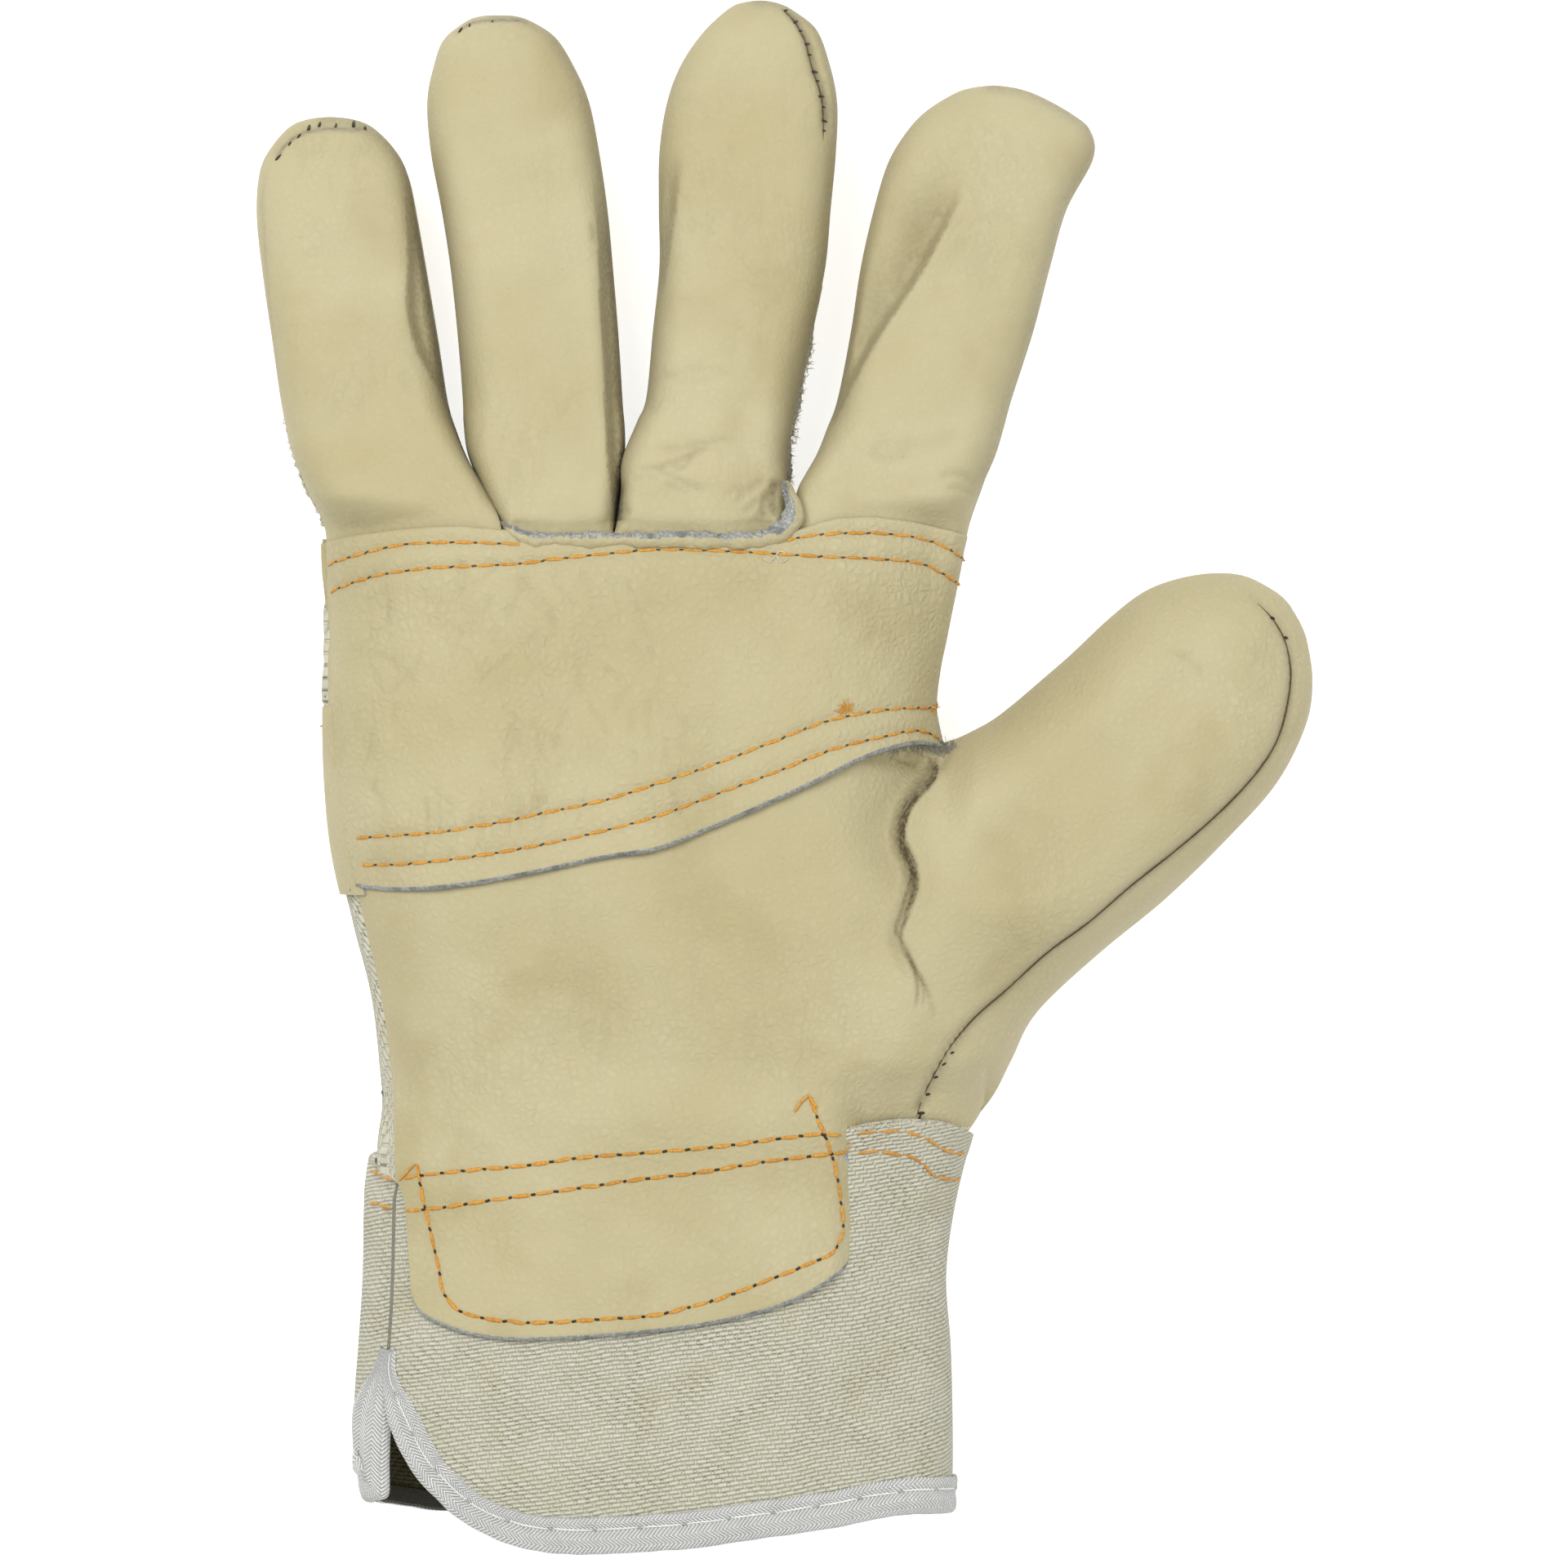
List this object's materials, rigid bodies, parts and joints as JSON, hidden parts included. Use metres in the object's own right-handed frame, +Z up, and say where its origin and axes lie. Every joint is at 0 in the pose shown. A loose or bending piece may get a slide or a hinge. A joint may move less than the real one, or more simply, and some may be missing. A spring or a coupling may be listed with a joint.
{
  "type": "leather work glove",
  "caption": "Right-hand work glove with leather palm, fingers and thumb, canvas back and a bound canvas cuff with a vent slit, lying palm up.",
  "frame": {"origin": "centre of the bounding box's base, on the surface the glove rests on", "axes": "+X from the little finger towards the thumb, +Y from the cuff to the fingertips, +Z up out of the palm"},
  "size_m": [0.179, 0.2614, 0.043],
  "materials": {
    "leather": "matte",
    "canvas": "matte",
    "binding": "matte"
  },
  "bodies": {
    "root": {"palm_leather": "leather", "palm_patch": "leather", "finger_base_seam": "leather", "knuckle_strap": "leather", "little_finger_front": "leather", "ring_finger_front": "leather", "middle_finger_front": "leather", "index_finger_front": "leather", "little_fingertip_back": "leather", "ring_fingertip_back": "leather", "middle_fingertip_back": "leather", "index_finger_back": "leather", "thumb_back": "leather", "back_canvas": "canvas", "cuff_canvas": "canvas", "cuff_binding": "binding"}
  },
  "joints": []
}
